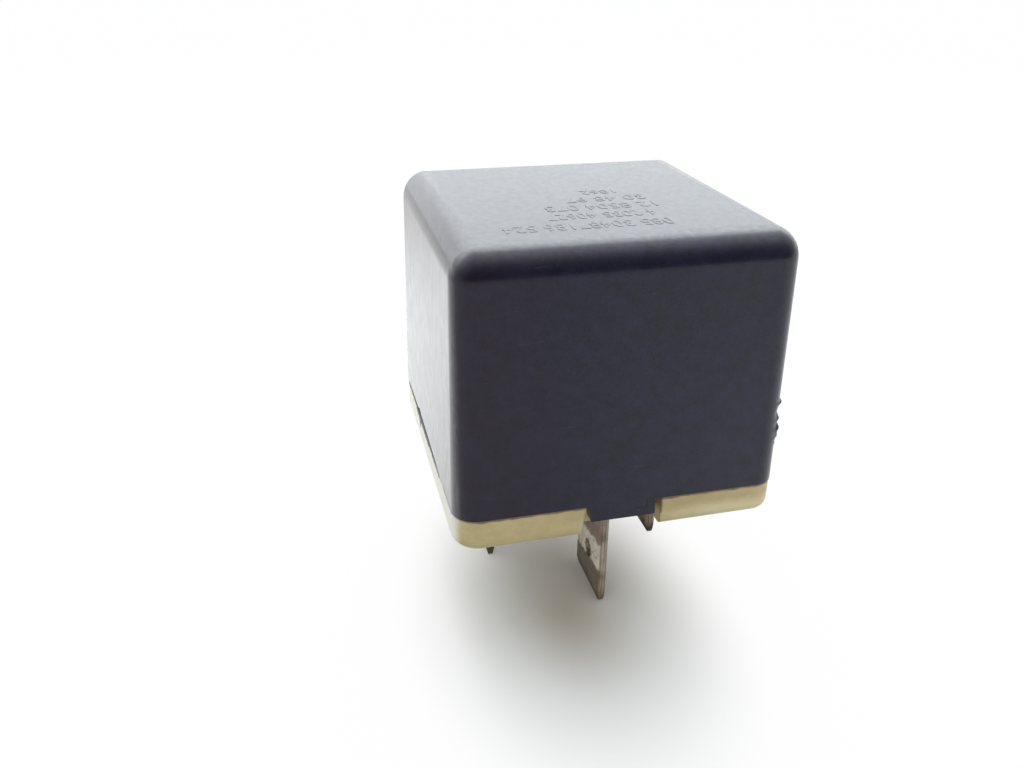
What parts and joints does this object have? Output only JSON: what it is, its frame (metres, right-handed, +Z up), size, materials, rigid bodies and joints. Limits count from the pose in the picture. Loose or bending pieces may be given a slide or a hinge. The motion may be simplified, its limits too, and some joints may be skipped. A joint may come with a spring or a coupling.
{
  "type": "automotive relay",
  "caption": "Square plug-in changeover relay for cars: moulded cover over a base with flat blade terminals, a coil inside moves a hinged armature between two contacts.",
  "frame": {"origin": "on the plane of the blade tips, under the middle of the cover", "axes": "+Z up from the blade tips to the cover's top, -Y towards the front wall with the cover's tab, +X to the right seen from the front"},
  "size_m": [0.028, 0.028, 0.0353],
  "materials": {
    "cover_plastic": "satin, rubbed and dusty",
    "base_plastic": "satin, slightly translucent",
    "tinned_strip": "tinned, tarnished",
    "plated_iron": "nickel plated, dull",
    "bobbin_plastic": "matte",
    "enamelled_copper": "lacquered wire",
    "spring_bronze": "rolled strip",
    "rivet_steel": "zinc plated",
    "contact_silver": "silver alloy, dull",
    "resistor_lacquer": "glossy lacquer with colour bands",
    "tinned_wire": "tinned"
  },
  "bodies": {
    "housing": {"cover": "cover_plastic", "base": "base_plastic", "terminal_30": "tinned_strip", "terminal_85": "tinned_strip", "terminal_86": "tinned_strip", "terminal_87": "tinned_strip", "terminal_87a": "tinned_strip", "yoke": "plated_iron", "core": "plated_iron", "bobbin": "bobbin_plastic", "winding": "enamelled_copper", "yoke_rivets": "rivet_steel", "lower_contact": "contact_silver", "upper_contact": "contact_silver", "resistor": "resistor_lacquer", "resistor_leads": "tinned_wire"},
    "armature": {"armature": "plated_iron", "leaf_spring": "spring_bronze", "armature_rivets": "rivet_steel", "moving_contact": "contact_silver"}
  },
  "joints": [
    {"name": "armature_swing", "type": "hinge", "parent": "housing", "child": "armature", "pos_m": [0, -0.0102, 0.02795], "axis": [-1, 0, 0], "range_deg": [0, 2.5], "stiffness_Nm_per_rad": 0.28, "deforming": ["leaf_spring"]}
  ]
}
